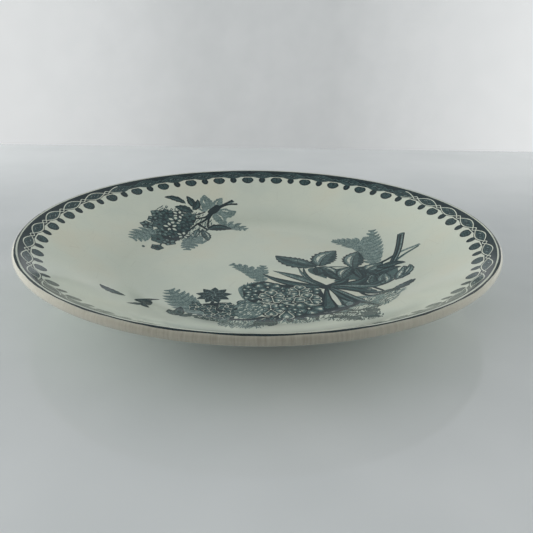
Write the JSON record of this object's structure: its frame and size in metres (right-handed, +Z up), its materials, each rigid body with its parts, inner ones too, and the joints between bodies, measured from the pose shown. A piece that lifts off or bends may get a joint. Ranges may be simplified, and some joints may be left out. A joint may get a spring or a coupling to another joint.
{
  "type": "china dinner plate",
  "caption": "Round rimmed dinner plate with a flat well, a sloping verge, a wide rim with a rounded lip, and a foot ring underneath; holds a served meal.",
  "frame": {"origin": "middle of the foot ring's flat resting band, on the table plane", "axes": "+Z up along the axis the plate is turned about; the printed main spray lies towards +X and -Y, the small spray towards -X and +Y"},
  "size_m": [0.24, 0.24, 0.0305],
  "materials": {
    "glazed_china": "clear glossy glaze over a cream-white body, with a blue-grey underglaze print on the upper face"
  },
  "bodies": {
    "root": {"plate_body": "glazed_china"}
  },
  "joints": []
}
